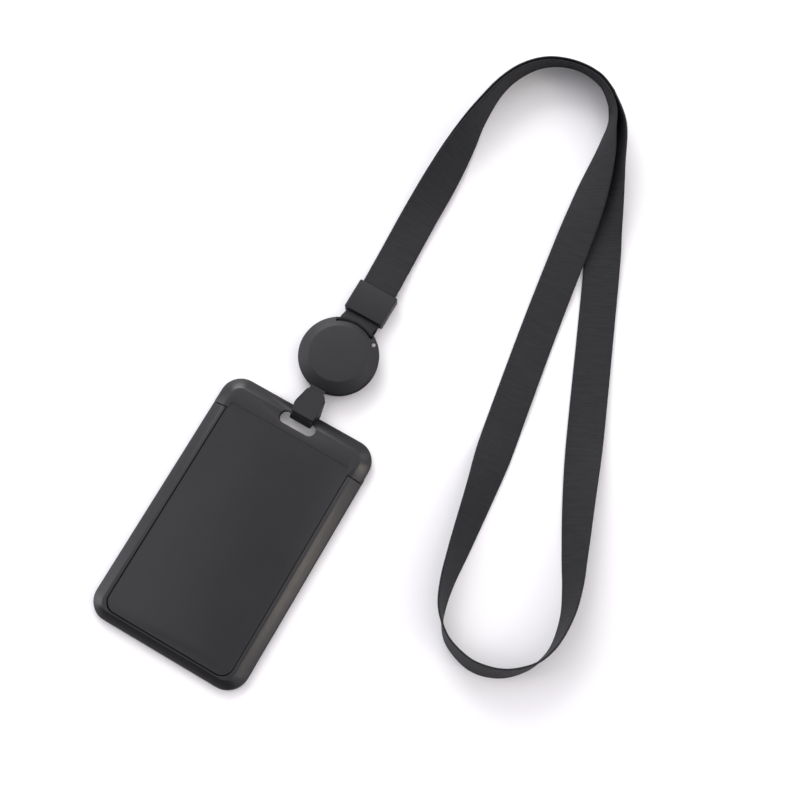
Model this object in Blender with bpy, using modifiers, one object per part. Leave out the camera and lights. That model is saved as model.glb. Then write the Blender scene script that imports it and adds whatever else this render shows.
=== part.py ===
"""Lanyard badge holder: neck strap, strap buckle, retractable reel, hook tab and slide-open card holder.

Lies on a table at Z = 0. +Y runs along the assembly from the card holder to the buckle, +Z is up,
and the object's middle, without the neck strap, is over the origin.
"""

import math

import bmesh
import bpy
from mathutils import Matrix, Vector

MM = 0.001

# card holder
HOLDER_WIDTH = 66.0
HOLDER_TOP = 24.7
HOLDER_BOTTOM = -81.3
HOLDER_CORNER = 8.4
BAND_BOTTOM = 10.8
BAND_LOW = 2.35
BAND_HIGH = 5.15
RAIL_TOP = 10.4
LEDGE = (2.0, 12.6)
RAIL_INNER = 27.3
RAIL_HIGH = 5.2
RAIL_EDGE = 2.6
RAIL_SLOPE = 4.4
FOOT_SLOPE = 3.3
LIP = 1.2
SLOT_WIDTH = 15.6
SLOT_HEIGHT = 5.2
SLOT_Y = 18.7
PANEL_HALF = 26.95
PANEL_BOTTOM = -77.15
PANEL_TOP = 13.5
PANEL_LOW = 3.5
PANEL_HIGH = 4.9
TONGUE_HALF = 28.6
WINDOW_LOW = 1.5
WINDOW_HIGH = 2.1

# reel
REEL_Y = 49.6
REEL_R = 16.0
REEL_HIGH = 9.0
DISC_R = 11.4
CHAMFER_EDGE = 6.2
CAVITY_R = 12.2
SPLIT = 3.4
STRAP_SLOT = (13.6, 15.0)
SLOT_TURN = 34
PEEP_TOP = (10.1, 59.7, 7.5)
PEEP_FOOT = (8.8, 61.6, -0.5)
PEEP_R = 0.85
BRIDGE = (1.4, 6.0)
CORD_Z = 3.75
CORD_R = 0.4

# hook tab
BAR_Y = 23.0
BAR_Z = 3.75
TAB_INNER = 2.55
TAB_OUTER = 3.65
TAB_HEAD = (30.6, 33.2)
TAB_HALF = 5.7
TAB_X = 0.3
TAB_SIDE = [(3.1, 36.0), (3.1, 32.7), (3.8, 32.1), (5.2, 26.4), (5.3, 25.2), (4.65, 22.0), (4.25, 19.0)]
TAB_NOSE = 34.4
TAB_NOSE_LOW = 7.0

# buckle and strap
BUCKLE_Y = (68.6, 81.6)
BUCKLE_HALF = 8.5
BUCKLE_HIGH = 5.0
STRAP_WIDTH = 14.4
STRAP_THICK = 0.8
STRAP_PITCH = 1.18

# neck strap centreline in mm: x, y, roll in degrees, height of what lies under it
STACK_ROUTE = [
    (0.0, 75.4, 0, 2.6),
    (-0.3, 83.0, 0, 2.5),
    (-1.0, 96.0, 0, 1.3),
    (-1.7, 116.5, 6, 1.18),
    (-1.4, 138.0, 30, 1.18),
    (-1.2, 154.5, 54, 1.18),
    (-1.0, 166.0, 72, 1.18),
    (0.6, 181.0, 88, 0.6),
    (4.9, 192.1, 98, 0.0),
    (12.4, 200.5, 107, 0.0),
    (23.1, 204.7, 111, 0.0),
    (33.8, 203.7, 106, 0.0),
    (41.4, 198.7, 96, 0.0),
]
LOOP_ROUTE = [
    (45.8, 192.4, 86, 1.0),
    (48.4, 183.8, 74, 1.18),
    (51.3, 173.1, 54, 1.18),
    (54.8, 154.6, 24, 1.18),
    (57.6, 135.0, 6, 1.18),
    (62.5, 100.0, 0, 0.3),
    (69.3, 57.0, 0, 0.0),
    (73.6, 31.9, -34, 0.0),
    (77.8, 4.9, -58, 0.0),
    (79.6, -5.7, -68, 0.0),
    (82.1, -14.2, -77, 0.0),
    (85.6, -20.3, -88, 0.0),
    (90.9, -25.0, -95, 0.0),
    (99.3, -27.8, -100, 0.0),
    (106.1, -27.7, -102, 0.0),
    (113.2, -25.2, -100, 0.0),
    (118.9, -20.7, -96, 0.0),
    (123.1, -14.8, -91, 0.0),
    (125.3, -6.5, -86, 0.0),
    (124.4, 4.9, -76, 0.0),
    (121.1, 15.4, -65, 0.0),
    (116.4, 26.1, -55, 0.0),
    (107.4, 47.2, -36, 0.0),
    (97.3, 72.8, -12, 0.0),
    (81.9, 110.8, -3, 0.0),
    (70.8, 137.4, -8, 0.0),
    (64.6, 150.8, -20, 0.0),
    (56.8, 170.7, -50, 0.0),
    (51.1, 188.1, -76, 0.0),
]
# strap end loop centreline: y, z, how far it follows the reel's rim across its width
END_LOOP = [
    (74.9, 3.05, 0.0),
    (71.5, 3.05, 0.0),
    (69.2, 3.08, 0.0),
    (68.0, 3.5, 0.2),
    (67.1, 4.7, 0.5),
    (66.3, 6.0, 0.8),
    (65.3, 6.75, 1.0),
    (64.5, 6.65, 1.0),
    (63.98, 6.0, 1.0),
    (63.9, 5.0, 1.0),
    (63.9, 2.2, 1.0),
    (63.98, 1.35, 1.0),
    (64.5, 0.72, 1.0),
    (65.3, 0.55, 1.0),
    (66.4, 0.6, 0.7),
    (67.3, 1.1, 0.3),
    (68.1, 1.75, 0.05),
    (69.2, 1.85, 0.0),
    (71.5, 1.85, 0.0),
    (74.9, 1.85, 0.0),
]

BLACK = (0.035, 0.035, 0.038)
SOOT = (0.05, 0.05, 0.055)
STEEL = (0.6, 0.6, 0.62)


def clear_scene():
    for o in list(bpy.data.objects):
        bpy.data.objects.remove(o, do_unlink=True)


def collection(name, hidden=False):
    c = bpy.data.collections.new(name)
    bpy.context.scene.collection.children.link(c)
    c.hide_render = hidden
    return c


def material(name, colour, rough, metal=0.0, alpha=1.0):
    m = bpy.data.materials.new(name)
    m.use_nodes = True
    s = m.node_tree.nodes["Principled BSDF"]
    s.inputs["Base Color"].default_value = (*colour, 1.0)
    s.inputs["Roughness"].default_value = rough
    s.inputs["Metallic"].default_value = metal
    s.inputs["Alpha"].default_value = alpha
    return m


def place(mesh, name, group):
    o = bpy.data.objects.new(name, mesh)
    group.objects.link(o)
    return o


def as_cutter(o):
    o.hide_render = True
    o.display_type = "WIRE"
    return o


def combine(target, tool, operation="DIFFERENCE"):
    m = target.modifiers.new(operation.lower(), "BOOLEAN")
    m.operation = operation
    m.solver = "EXACT"
    m.object = tool


def solid_from_curve(curve, name, group, merge=0.00005):
    """The curve as a mesh with its doubled edges welded."""
    temp = bpy.data.objects.new(name + "_curve", curve)
    bpy.context.scene.collection.objects.link(temp)
    deps = bpy.context.evaluated_depsgraph_get()
    mesh = bpy.data.meshes.new_from_object(temp.evaluated_get(deps))
    bpy.data.objects.remove(temp, do_unlink=True)
    bm = bmesh.new()
    bm.from_mesh(mesh)
    bmesh.ops.remove_doubles(bm, verts=bm.verts, dist=merge)
    bmesh.ops.recalc_face_normals(bm, faces=bm.faces)
    bm.to_mesh(mesh)
    bm.free()
    mesh.name = name
    return place(mesh, name, group)


def arc(cx, cy, r, start, end, count):
    """Points on a circle, angles in degrees."""
    turn = [math.radians(start + (end - start) * i / count) for i in range(count + 1)]
    return [(cx + r * math.cos(a), cy + r * math.sin(a)) for a in turn]


def rounded(x0, x1, y0, y1, low_r, high_r, count=8):
    """A rectangle's outline with its lower and upper corners rounded."""
    points = []
    for cx, cy, r, start in (
        (x1 - high_r, y1 - high_r, high_r, 0),
        (x0 + high_r, y1 - high_r, high_r, 90),
        (x0 + low_r, y0 + low_r, low_r, 180),
        (x1 - low_r, y0 + low_r, low_r, 270),
    ):
        points += arc(cx, cy, r, start, start + 90, count)
    return points


def plate(name, outlines, low, high, group):
    """Flat outlines in mm, extruded from low to high; an inner outline is a hole."""
    curve = bpy.data.curves.new(name, "CURVE")
    curve.dimensions = "2D"
    curve.fill_mode = "BOTH"
    curve.extrude = (high - low) / 2 * MM
    for outline in outlines:
        spline = curve.splines.new("POLY")
        spline.points.add(len(outline) - 1)
        for p, (x, y) in zip(spline.points, outline):
            p.co = (x * MM, y * MM, 0, 1)
        spline.use_cyclic_u = True
    o = solid_from_curve(curve, name, group)
    o.data.transform(Matrix.Translation((0, 0, (low + high) / 2 * MM)))
    return o


def lathe(name, profile, group, closed=False, steps=48):
    """A profile of (radius, height) in mm turned about Z, its outer side listed from top to bottom."""
    mesh = bpy.data.meshes.new(name)
    count = len(profile)
    edges = [(i, i + 1) for i in range(count - 1)]
    if closed:
        edges.append((count - 1, 0))
    mesh.from_pydata([(r * MM, 0, z * MM) for r, z in profile], edges, [])
    o = place(mesh, name, group)
    m = o.modifiers.new("turn", "SCREW")
    m.axis = "Z"
    m.steps = steps
    m.render_steps = steps
    m.use_merge_vertices = True
    m.merge_threshold = 0.00005
    return o


def cylinder_y(name, radius, y0, y1, x, z, group, sides=20):
    """A round bar along Y."""
    bm = bmesh.new()
    length = (y1 - y0) * MM
    bmesh.ops.create_cone(
        bm, cap_ends=True, segments=sides, radius1=radius * MM, radius2=radius * MM, depth=length
    )
    bm.transform(Matrix.Rotation(math.radians(90), 4, "X"))
    bm.transform(Matrix.Translation((x * MM, (y0 + y1) / 2 * MM, z * MM)))
    bmesh.ops.recalc_face_normals(bm, faces=bm.faces)
    mesh = bpy.data.meshes.new(name)
    bm.to_mesh(mesh)
    bm.free()
    return place(mesh, name, group)


def sector(name, r0, r1, start, end, low, high, group):
    """A plate bent around the reel's centre; the angles are from +Y, clockwise."""
    outer = arc(0, REEL_Y, r1, 90 - end, 90 - start, 20)
    inner = arc(0, REEL_Y, r0, 90 - start, 90 - end, 20)
    return as_cutter(plate(name, [outer + inner], low, high, group))


def loft(name, rings, group):
    """A closed solid through rings that have the same number of points."""
    count = len(rings[0])
    verts = [Vector(p) * MM for ring in rings for p in ring]
    faces = [tuple(reversed(range(count)))]
    for k in range(len(rings) - 1):
        for i in range(count):
            j = (i + 1) % count
            faces.append((k * count + i, k * count + j, (k + 1) * count + j, (k + 1) * count + i))
    last = (len(rings) - 1) * count
    faces.append(tuple(range(last, last + count)))
    bm = bmesh.new()
    made = [bm.verts.new(v) for v in verts]
    for f in faces:
        bm.faces.new([made[i] for i in f])
    bmesh.ops.recalc_face_normals(bm, faces=bm.faces)
    mesh = bpy.data.meshes.new(name)
    bm.to_mesh(mesh)
    bm.free()
    return place(mesh, name, group)


def smooth(points, per_span):
    """A Catmull-Rom curve through the points, as lists of the same length."""
    padded = [points[0], *points, points[-1]]
    out = []
    for k in range(1, len(padded) - 2):
        p0, p1, p2, p3 = padded[k - 1 : k + 3]
        for i in range(per_span):
            t = i / per_span
            out.append(
                [
                    b
                    + 0.5 * t * ((c - a) + t * ((2 * a - 5 * b + 4 * c - d) + t * (3 * (b - c) + d - a)))
                    for a, b, c, d in zip(p0, p1, p2, p3)
                ]
            )
    out.append(list(points[-1]))
    return out


def strap_frame(samples):
    """Centre, travel direction and top normal at each sample of x, y, roll, under."""
    out = []
    for i, (x, y, roll, under) in enumerate(samples):
        a = samples[max(i - 1, 0)]
        b = samples[min(i + 1, len(samples) - 1)]
        ahead = Vector((b[0] - a[0], b[1] - a[1], 0)).normalized()
        left = Vector((-ahead.y, ahead.x, 0))
        turn = math.radians(roll)
        normal = Vector((0, 0, 1)) * math.cos(turn) - left * math.sin(turn)
        lift = STRAP_WIDTH / 2 * abs(math.sin(turn)) + (STRAP_THICK / 2 + under) * abs(math.cos(turn))
        out.append((Vector((x, y, lift + 0.1)), roll, normal))
    return out


def thin(points, spacing):
    """Keeps points about that far apart, with both ends."""
    kept = [points[0]]
    for p in points[1:-1]:
        if (p[0] - kept[-1][0]).length >= spacing:
            kept.append(p)
    return [*kept, points[-1]]


def neck_route():
    """The whole strap: up the stack, round the far loop, and back under and outside itself."""
    stack = strap_frame(smooth(STACK_ROUTE, 12))
    stack = thin(stack, 5.5)
    under = [(c - n * STRAP_PITCH, -roll, n) for c, roll, n in reversed(stack)]
    last = STACK_ROUTE[-1]
    first = under[0][0]
    lead_in = [last, *LOOP_ROUTE, (first.x, first.y, -last[2], 0.0)]
    loop = thin(strap_frame(smooth(lead_in, 12))[4:-4], 10.5)
    return stack + loop + under


def swept_strap(name, route, group):
    """A flat strap along the route, turned about its own length by the roll."""
    section = bpy.data.curves.new(name + "_section", "CURVE")
    section.dimensions = "2D"
    spline = section.splines.new("POLY")
    spline.points.add(3)
    half_w = STRAP_WIDTH / 2 * MM
    half_t = STRAP_THICK / 2 * MM
    corners = ((-half_w, -half_t), (half_w, -half_t), (half_w, half_t), (-half_w, half_t))
    for p, (x, y) in zip(spline.points, corners):
        p.co = (x, y, 0, 1)
    spline.use_cyclic_u = True
    shape = bpy.data.objects.new(name + "_section", section)
    bpy.context.scene.collection.objects.link(shape)
    curve = bpy.data.curves.new(name, "CURVE")
    curve.dimensions = "3D"
    curve.twist_mode = "Z_UP"
    curve.bevel_mode = "OBJECT"
    curve.bevel_object = shape
    curve.use_fill_caps = True
    path = curve.splines.new("POLY")
    path.points.add(len(route) - 1)
    for p, (centre, roll, _) in zip(path.points, route):
        p.co = (*(centre * MM), 1)
        p.tilt = math.radians(roll)
    o = solid_from_curve(curve, name, group)
    bpy.data.objects.remove(shape, do_unlink=True)
    # strands that lie together must bend along the same diagonals, or their faces cross
    lean = Vector((0.3, 1.0, 0.35))
    bm = bmesh.new()
    bm.from_mesh(o.data)
    for f in [f for f in bm.faces if len(f.verts) == 4]:
        corners = list(f.verts)
        k = min(range(4), key=lambda i: lean.dot(corners[i].co))
        bmesh.utils.face_split(f, corners[k], corners[(k + 2) % 4])
    bm.to_mesh(o.data)
    bm.free()
    return o


def end_loop(name, group):
    """The short strap folded round the reel's bridge, bent across its width to the rim's curve."""
    line = smooth(END_LOOP, 3)
    half = STRAP_WIDTH / 2
    across = [-half + STRAP_WIDTH * i / 10 for i in range(11)]
    bend = sum(STRAP_SLOT) / 2
    rings = []
    for i, (y, z, follow) in enumerate(line):
        a = line[max(i - 1, 0)]
        b = line[min(i + 1, len(line) - 1)]
        ahead = Vector((b[0] - a[0], b[1] - a[1])).normalized()
        side = Vector((-ahead.y, ahead.x)) * STRAP_THICK / 2
        ring = []
        for sign, order in ((1, across), (-1, list(reversed(across)))):
            for u in order:
                drop = follow * (bend - math.sqrt(bend * bend - u * u))
                ring.append((u, y - drop + sign * side.x, z + sign * side.y))
        rings.append(ring)
    return loft(name, rings, group)


def slide_cover(parts, cutters):
    half = HOLDER_WIDTH / 2
    rings = []
    for inset, z in ((0.0, BAND_LOW), (0.0, RAIL_EDGE), (RAIL_SLOPE, BAND_HIGH)):
        r = HOLDER_CORNER - inset
        outline = rounded(-half + inset, half - inset, 0.0, HOLDER_TOP - inset, 4.0, r)
        rings.append([(x, y, z) for x, y in outline])
    cover = loft("slide_cover", rings, parts)
    reach = (SLOT_WIDTH - SLOT_HEIGHT) / 2
    slot = arc(reach, SLOT_Y, SLOT_HEIGHT / 2, -90, 90, 12)
    slot += arc(-reach, SLOT_Y, SLOT_HEIGHT / 2, 90, 270, 12)
    below = [(-half - 2, -3.0), (half + 2, -3.0), (half + 2, BAND_BOTTOM), (-half - 2, BAND_BOTTOM)]
    combine(cover, as_cutter(plate("tab_slot_cut", [slot], 0.0, 8.0, cutters)))
    combine(cover, as_cutter(plate("below_band_cut", [below], 0.0, 8.0, cutters)))
    panel = plate(
        "panel_blank",
        [rounded(-PANEL_HALF, PANEL_HALF, PANEL_BOTTOM, PANEL_TOP + 1.0, 4.6, 0.5)],
        PANEL_LOW,
        PANEL_HIGH,
        cutters,
    )
    tongue = plate(
        "tongue_blank",
        [rounded(-TONGUE_HALF, TONGUE_HALF, -72.0, BAND_BOTTOM - 0.9, 1.5, 0.6)],
        PANEL_LOW,
        4.1,
        cutters,
    )
    recess = plate(
        "panel_recess",
        [rounded(-PANEL_HALF, PANEL_HALF, -90.0, PANEL_TOP, 1.0, 3.0)],
        PANEL_HIGH,
        8.0,
        cutters,
    )
    combine(cover, as_cutter(panel), "UNION")
    combine(cover, as_cutter(tongue), "UNION")
    combine(cover, as_cutter(recess))
    return cover


def card_frame(parts, cutters):
    half = HOLDER_WIDTH / 2
    rings = []
    for inset, rise, z in (
        (0.5, 0.5, 0.0),
        (0.0, 0.0, 0.5),
        (0.0, 0.0, RAIL_EDGE),
        (RAIL_SLOPE, FOOT_SLOPE, RAIL_HIGH),
    ):
        r = HOLDER_CORNER - inset
        outline = rounded(-half + inset, half - inset, HOLDER_BOTTOM + rise, 24.0, r, 2.0)
        rings.append([(x, y, z) for x, y in outline])
    frame = loft("card_frame", rings, parts)
    wide = half + 2
    cuts = (
        ("rail_end_cut", [rounded(-wide, wide, RAIL_TOP, 40.0, 0.5, 0.5)], LEDGE[0], 8.0),
        ("ledge_end_cut", [rounded(-wide, wide, LEDGE[1], 40.0, 0.5, 0.5)], -1.0, 8.0),
        ("pocket_cut", [rounded(-RAIL_INNER, RAIL_INNER, -77.5, 40.0, 4.9, 1.0)], LIP, 8.0),
        ("window_cut", [rounded(-24.3, 24.3, -73.0, 4.4, 4.0, 4.0)], -1.0, 3.0),
        ("groove_cut", [rounded(-28.95, 28.95, -72.5, 40.0, 1.5, 1.0)], 3.2, 4.4),
    )
    for name, outline, low, high in cuts:
        combine(frame, as_cutter(plate(name, outline, low, high, cutters)))
    return frame


def reel_shells(parts, cutters):
    r0, r1 = STRAP_SLOT
    low, high = BRIDGE
    strap_slot = sector("strap_slot_cut", r0, r1, -SLOT_TURN, SLOT_TURN, -1.0, 11.0, cutters)
    over_bridge = sector("over_bridge_cut", r0, r1 + 3, -SLOT_TURN, SLOT_TURN, high, 11.0, cutters)
    under_bridge = sector("under_bridge_cut", r0, r1 + 3, -SLOT_TURN, SLOT_TURN, -1.0, low, cutters)
    exit_hole = as_cutter(cylinder_y("exit_cut", 1.35, 32.0, 38.6, 0, CORD_Z, cutters))
    peep = as_cutter(cylinder_y("peep_cut", PEEP_R, -6.0, 6.0, 0, 0, cutters, 24))
    top, foot = Vector(PEEP_TOP) * MM, Vector(PEEP_FOOT) * MM
    peep.data.transform((top - foot).to_track_quat("Y", "Z").to_matrix().to_4x4())
    peep.data.transform(Matrix.Translation((top + foot) / 2))
    cap_profile = [
        (0, REEL_HIGH),
        (DISC_R, REEL_HIGH),
        (REEL_R, CHAMFER_EDGE),
        (REEL_R - 0.2, SPLIT + 0.15),
        (CAVITY_R, SPLIT + 0.15),
        (CAVITY_R, 7.5),
        (0, 7.5),
    ]
    cap = lathe("reel_front_cap", cap_profile, parts, steps=64)
    case_profile = [
        (0, 7.2),
        (1.6, 7.2),
        (1.6, 1.2),
        (CAVITY_R, 1.2),
        (CAVITY_R, SPLIT - 0.15),
        (REEL_R - 0.25, SPLIT - 0.15),
        (REEL_R - 0.5, 1.6),
        (REEL_R - 1.8, 0),
        (0, 0),
    ]
    case = lathe("reel_back_case", case_profile, parts, steps=64)
    for o in (cap, case):
        o.location = (0, REEL_Y * MM, 0)
        combine(o, strap_slot)
        combine(o, exit_hole)
        combine(o, peep)
    combine(cap, over_bridge)
    combine(case, under_bridge)
    return cap, case


def spool_pieces(parts):
    spool_profile = [
        (8.3, 6.9),
        (11.7, 6.9),
        (11.7, 6.2),
        (8.9, 6.2),
        (8.9, 2.3),
        (11.7, 2.3),
        (11.7, 1.6),
        (1.9, 1.6),
        (1.9, 2.3),
        (8.3, 2.3),
    ]
    spool = lathe("reel_spool", spool_profile, parts, closed=True, steps=48)
    rows = 4
    winding_profile = [(9.2, 5.9)]
    for i in range(rows):
        top = 5.9 - 3.3 * i / rows
        winding_profile += [(10.3, top), (10.6, top - 3.3 / rows / 2)]
    winding_profile += [(10.3, 2.6), (9.2, 2.6)]
    winding = lathe("cord_winding", winding_profile, parts, closed=True, steps=40)
    for o in (spool, winding):
        o.location = (0, REEL_Y * MM, 0)
    return spool, winding


def reel_spring(parts):
    """A flat spiral strip between the fixed post and the spool's drum."""
    turns = 6
    count = 20 * turns
    half = 0.125
    rings = []
    for i in range(count + 1):
        a = 2 * math.pi * turns * i / count
        r = 2.25 + 5.5 * i / count
        ring = []
        for dr, z in ((-half, 2.7), (half, 2.7), (half, 6.6), (-half, 6.6)):
            ring.append(((r + dr) * math.cos(a), REEL_Y + (r + dr) * math.sin(a), z))
        rings.append(ring)
    return loft("reel_spring", rings, parts)


def tube_curve(name, points, radius, parts):
    curve = bpy.data.curves.new(name, "CURVE")
    curve.dimensions = "3D"
    curve.bevel_depth = radius * MM
    curve.bevel_resolution = 2
    curve.use_fill_caps = True
    spline = curve.splines.new("POLY")
    spline.points.add(len(points) - 1)
    for p, (x, y, z) in zip(spline.points, points):
        p.co = (x * MM, y * MM, z * MM, 1)
    return solid_from_curve(curve, name, parts)


def bush(name, inner, outer, y0, y1, parts):
    """A short tube along Y on the cord's line."""
    rings = []
    for r, y in ((outer, y0), (outer, y1), (inner, y1), (inner, y0)):
        rings.append([(x, y, CORD_Z + z) for x, z in arc(0, 0, r, 0, 337.5, 15)])
    count = len(rings[0])
    bm = bmesh.new()
    made = [[bm.verts.new(Vector(p) * MM) for p in ring] for ring in rings]
    for k in range(4):
        for i in range(count):
            j = (i + 1) % count
            a, b = made[k], made[(k + 1) % 4]
            bm.faces.new((a[i], a[j], b[j], b[i]))
    bmesh.ops.recalc_face_normals(bm, faces=bm.faces)
    mesh = bpy.data.meshes.new(name)
    bm.to_mesh(mesh)
    bm.free()
    return place(mesh, name, parts)


def cord_pieces(parts):
    route = smooth(
        [
            (4.6, 39.2, CORD_Z),
            (3.0, 38.65, CORD_Z),
            (1.5, 38.2, CORD_Z),
            (0.5, 37.5, CORD_Z),
            (0.05, 36.4, CORD_Z),
            (0.0, 35.2, CORD_Z),
            (0.0, 33.4, CORD_Z),
            (0.0, 31.7, CORD_Z),
        ],
        2,
    )
    cord = tube_curve("pull_cord", route, CORD_R, parts)
    ferrule = bush("cord_ferrule", 0.7, 1.02, 31.55, 33.0, parts)
    eyelet = bush("exit_eyelet", 0.72, 1.05, 34.0, 36.3, parts)
    return cord, ferrule, eyelet


def hook_tab(parts, cutters):
    """A flat tab folded round the holder's bar, its ends joined in a block that takes the cord."""
    y0, y1 = TAB_HEAD
    outer = [(TAB_NOSE, TAB_NOSE_LOW), (y1, TAB_NOSE_LOW), (y1, 0.1)]
    outer += arc(BAR_Y, BAR_Z, TAB_OUTER, -90, -180, 10)
    outer += [(19.6, 4.7), (20.5, 5.9), (21.9, BAR_Z + TAB_OUTER), (TAB_NOSE, BAR_Z + TAB_OUTER)]
    inner = [(y0, BAR_Z - TAB_INNER)]
    inner += arc(BAR_Y, BAR_Z, TAB_INNER, -90, -270, 16)
    inner += [(y0, BAR_Z + TAB_INNER)]
    tab = plate("hook_tab", [outer, inner], -TAB_HALF, TAB_HALF, parts)
    turn = Matrix(((0, 0, 1, 0), (1, 0, 0, 0), (0, 1, 0, 0), (0, 0, 0, 1)))
    tab.data.transform(turn)
    for side in (-1, 1):
        outline = [(side * x + TAB_X, y) for x, y in [*TAB_SIDE, (9.0, 19.0), (9.0, 36.0)]]
        side_cut = plate(f"tab_side_cut_{side + 1}", [outline], -2.0, 10.0, cutters)
        combine(tab, as_cutter(side_cut))
    bore = cylinder_y("tab_bore", 1.35, 31.2, 34.0, 0, CORD_Z, cutters)
    combine(tab, as_cutter(bore))
    return tab


def buckle(parts, cutters):
    y0, y1 = BUCKLE_Y
    made = []
    for name, low, high in (("buckle_back", 0.0, 2.35), ("buckle_front", 2.65, BUCKLE_HIGH)):
        outline = rounded(-BUCKLE_HALF, BUCKLE_HALF, y0, y1, 0.7, 0.7, 4)
        shell = plate(name, [outline], low, high, parts)
        made.append(shell)
    inside = [(-7.8, y0 - 2), (7.8, y0 - 2), (7.8, y1 + 2), (-7.8, y1 + 2)]
    way = as_cutter(plate("strap_way_cut", [inside], 1.1, 3.8, cutters))
    for shell in made:
        combine(shell, way)
    return made


def main():
    clear_scene()
    parts = collection("lanyard_badge_holder")
    cutters = collection("cutters", hidden=True)
    plastic = {
        "slide_cover": slide_cover(parts, cutters),
        "card_frame": card_frame(parts, cutters),
        "hook_tab": hook_tab(parts, cutters),
    }
    plastic["reel_front_cap"], plastic["reel_back_case"] = reel_shells(parts, cutters)
    plastic["buckle_back"], plastic["buckle_front"] = buckle(parts, cutters)
    plastic["reel_spool"], winding = spool_pieces(parts)
    cord, ferrule, eyelet = cord_pieces(parts)
    window = plate(
        "card_window",
        [rounded(-26.9, 26.9, -75.6, 10.0, 5.2, 1.0)],
        WINDOW_LOW,
        WINDOW_HIGH,
        parts,
    )
    strap = swept_strap("neck_strap", neck_route(), parts)
    loop = end_loop("strap_end_loop", parts)
    spring = reel_spring(parts)
    for name, o in plastic.items():
        o.data.materials.append(material(name, BLACK, 0.45))
    for o, colour, rough, metal in (
        (winding, SOOT, 0.8, 0.0),
        (cord, SOOT, 0.8, 0.0),
        (strap, SOOT, 0.85, 0.0),
        (loop, SOOT, 0.85, 0.0),
        (ferrule, STEEL, 0.35, 1.0),
        (eyelet, STEEL, 0.35, 1.0),
        (spring, STEEL, 0.3, 1.0),
    ):
        o.data.materials.append(material(o.name, colour, rough, metal))
    window.data.materials.append(material("card_window", (0.9, 0.92, 0.93), 0.1, 0.0, 0.35))


main()
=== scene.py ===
"""Looks of a lanyard badge holder: neck strap, buckle, retractable reel, hook tab and card holder.

Every size below is in millimetres unless a name says otherwise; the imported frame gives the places.
"""

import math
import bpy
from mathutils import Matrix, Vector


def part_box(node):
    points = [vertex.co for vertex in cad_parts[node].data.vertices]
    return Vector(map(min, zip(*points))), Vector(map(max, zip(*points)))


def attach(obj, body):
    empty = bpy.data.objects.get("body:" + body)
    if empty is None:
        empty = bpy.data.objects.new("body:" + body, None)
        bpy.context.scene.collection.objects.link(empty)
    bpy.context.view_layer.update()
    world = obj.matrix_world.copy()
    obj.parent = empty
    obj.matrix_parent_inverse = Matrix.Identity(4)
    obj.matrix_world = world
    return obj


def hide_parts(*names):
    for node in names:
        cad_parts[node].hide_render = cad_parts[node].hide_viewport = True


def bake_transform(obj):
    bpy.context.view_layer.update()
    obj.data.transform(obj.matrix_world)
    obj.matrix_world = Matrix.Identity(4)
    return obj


bl_info = {
    "name": "Lanyard Badge Holder",
    "version": (1, 0, 0),
    "blender": (4, 5, 0),
    "location": "View3D > Sidebar > Badge Holder",
    "description": "Builds a lanyard badge holder's detailed pieces around its packed frame",
    "category": "Object",
}

import bmesh
import bpy
from mathutils import Matrix, Vector

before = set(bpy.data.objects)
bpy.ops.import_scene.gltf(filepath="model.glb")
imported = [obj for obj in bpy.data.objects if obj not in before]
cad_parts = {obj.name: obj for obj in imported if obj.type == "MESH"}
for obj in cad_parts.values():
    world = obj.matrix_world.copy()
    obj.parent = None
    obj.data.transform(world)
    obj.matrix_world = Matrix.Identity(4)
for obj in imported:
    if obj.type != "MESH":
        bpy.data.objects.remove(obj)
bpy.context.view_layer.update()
MM = 0.001

# neck strap centreline in mm: x, y, roll in degrees, height of what lies under it
STACK_ROUTE = [
    (0.0, 75.4, 0, 2.6),
    (-0.3, 83.0, 0, 2.5),
    (-1.0, 96.0, 0, 1.3),
    (-1.7, 116.5, 6, 1.18),
    (-1.4, 138.0, 30, 1.18),
    (-1.2, 154.5, 54, 1.18),
    (-1.0, 166.0, 72, 1.18),
    (0.6, 181.0, 88, 0.6),
    (4.9, 192.1, 98, 0.0),
    (12.4, 200.5, 107, 0.0),
    (23.1, 204.7, 111, 0.0),
    (33.8, 203.7, 106, 0.0),
    (41.4, 198.7, 96, 0.0),
]
LOOP_ROUTE = [
    (45.8, 192.4, 86, 1.0),
    (48.4, 183.8, 74, 1.18),
    (51.3, 173.1, 54, 1.18),
    (54.8, 154.6, 24, 1.18),
    (57.6, 135.0, 6, 1.18),
    (62.5, 100.0, 0, 0.3),
    (69.3, 57.0, 0, 0.0),
    (73.6, 31.9, -34, 0.0),
    (77.8, 4.9, -58, 0.0),
    (79.6, -5.7, -68, 0.0),
    (82.1, -14.2, -77, 0.0),
    (85.6, -20.3, -88, 0.0),
    (90.9, -25.0, -95, 0.0),
    (99.3, -27.8, -100, 0.0),
    (106.1, -27.7, -102, 0.0),
    (113.2, -25.2, -100, 0.0),
    (118.9, -20.7, -96, 0.0),
    (123.1, -14.8, -91, 0.0),
    (125.3, -6.5, -86, 0.0),
    (124.4, 4.9, -76, 0.0),
    (121.1, 15.4, -65, 0.0),
    (116.4, 26.1, -55, 0.0),
    (107.4, 47.2, -36, 0.0),
    (97.3, 72.8, -12, 0.0),
    (81.9, 110.8, -3, 0.0),
    (70.8, 137.4, -8, 0.0),
    (64.6, 150.8, -20, 0.0),
    (56.8, 170.7, -50, 0.0),
    (51.1, 188.1, -76, 0.0),
]
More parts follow.
